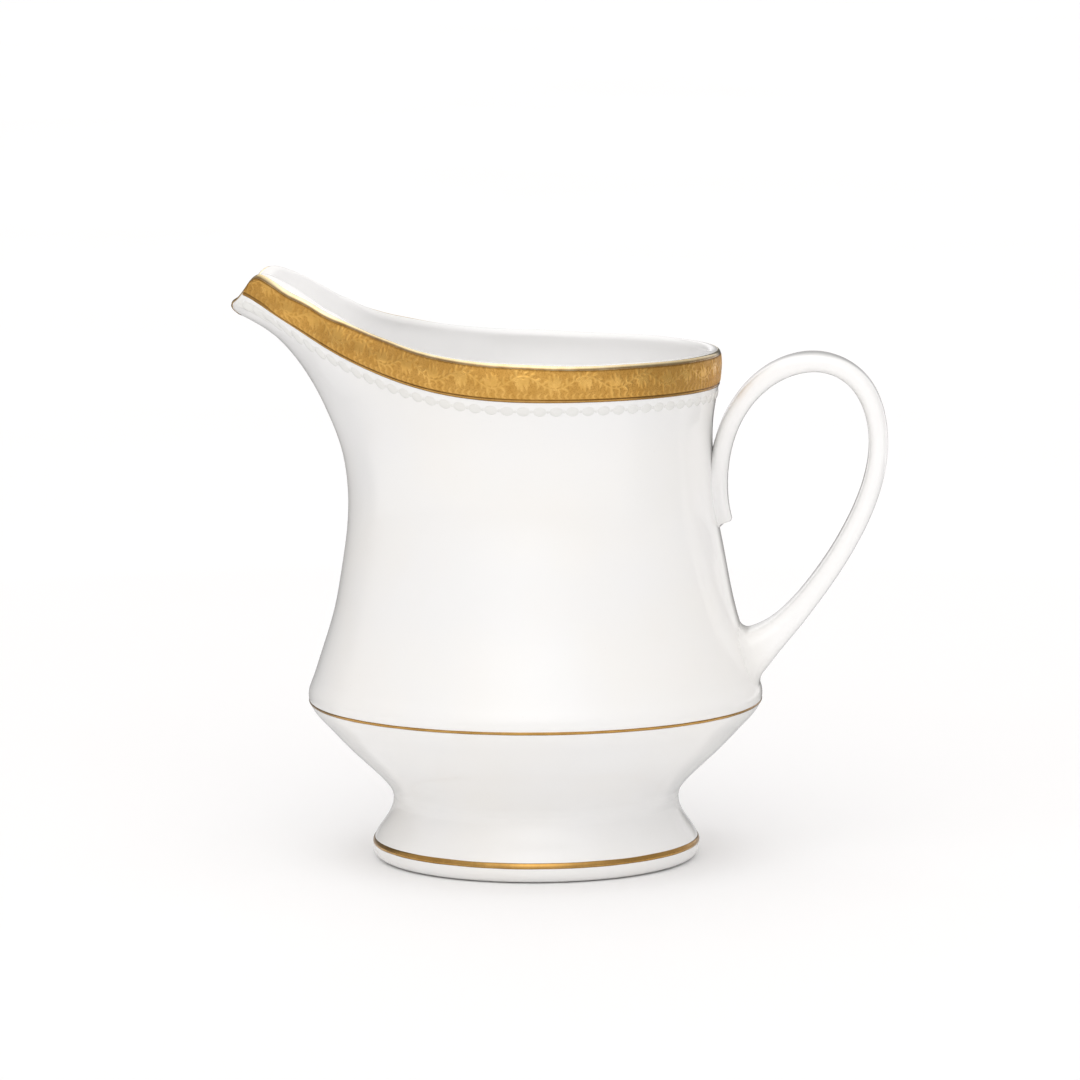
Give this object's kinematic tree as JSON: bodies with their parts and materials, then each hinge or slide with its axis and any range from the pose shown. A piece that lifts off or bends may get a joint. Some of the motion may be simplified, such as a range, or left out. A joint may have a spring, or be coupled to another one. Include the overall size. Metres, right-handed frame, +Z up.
{
  "type": "cream jug",
  "caption": "Footed porcelain cream jug with a bell-shaped body, long raised pouring spout, ribbon loop handle and gilded bands.",
  "frame": {"origin": "centre of the foot ring, on the plane the jug rests on", "axes": "+Z up out of the mouth, +X towards the handle and -X towards the spout, the XZ plane is the jug's mirror plane"},
  "size_m": [0.1182, 0.0828, 0.1075],
  "materials": {
    "white_porcelain": "clear glossy glaze over white porcelain",
    "slip_joint": "fired slip under the glaze",
    "etched_gold": "acid-etched relief, burnished gold",
    "bright_gold": "smooth burnished gold",
    "raised_white": "low relief under the glaze"
  },
  "bodies": {
    "root": {"jug_body": "white_porcelain", "pedestal_foot": "white_porcelain", "foot_luting": "slip_joint", "handle": "white_porcelain", "handle_upper_luting": "slip_joint", "handle_lower_luting": "slip_joint", "etched_gold_band": "etched_gold", "lip_gold_line": "bright_gold", "band_edge_gold_line": "bright_gold", "raised_bead_border": "raised_white", "shoulder_gold_line": "bright_gold", "foot_gold_line": "bright_gold"}
  },
  "joints": []
}
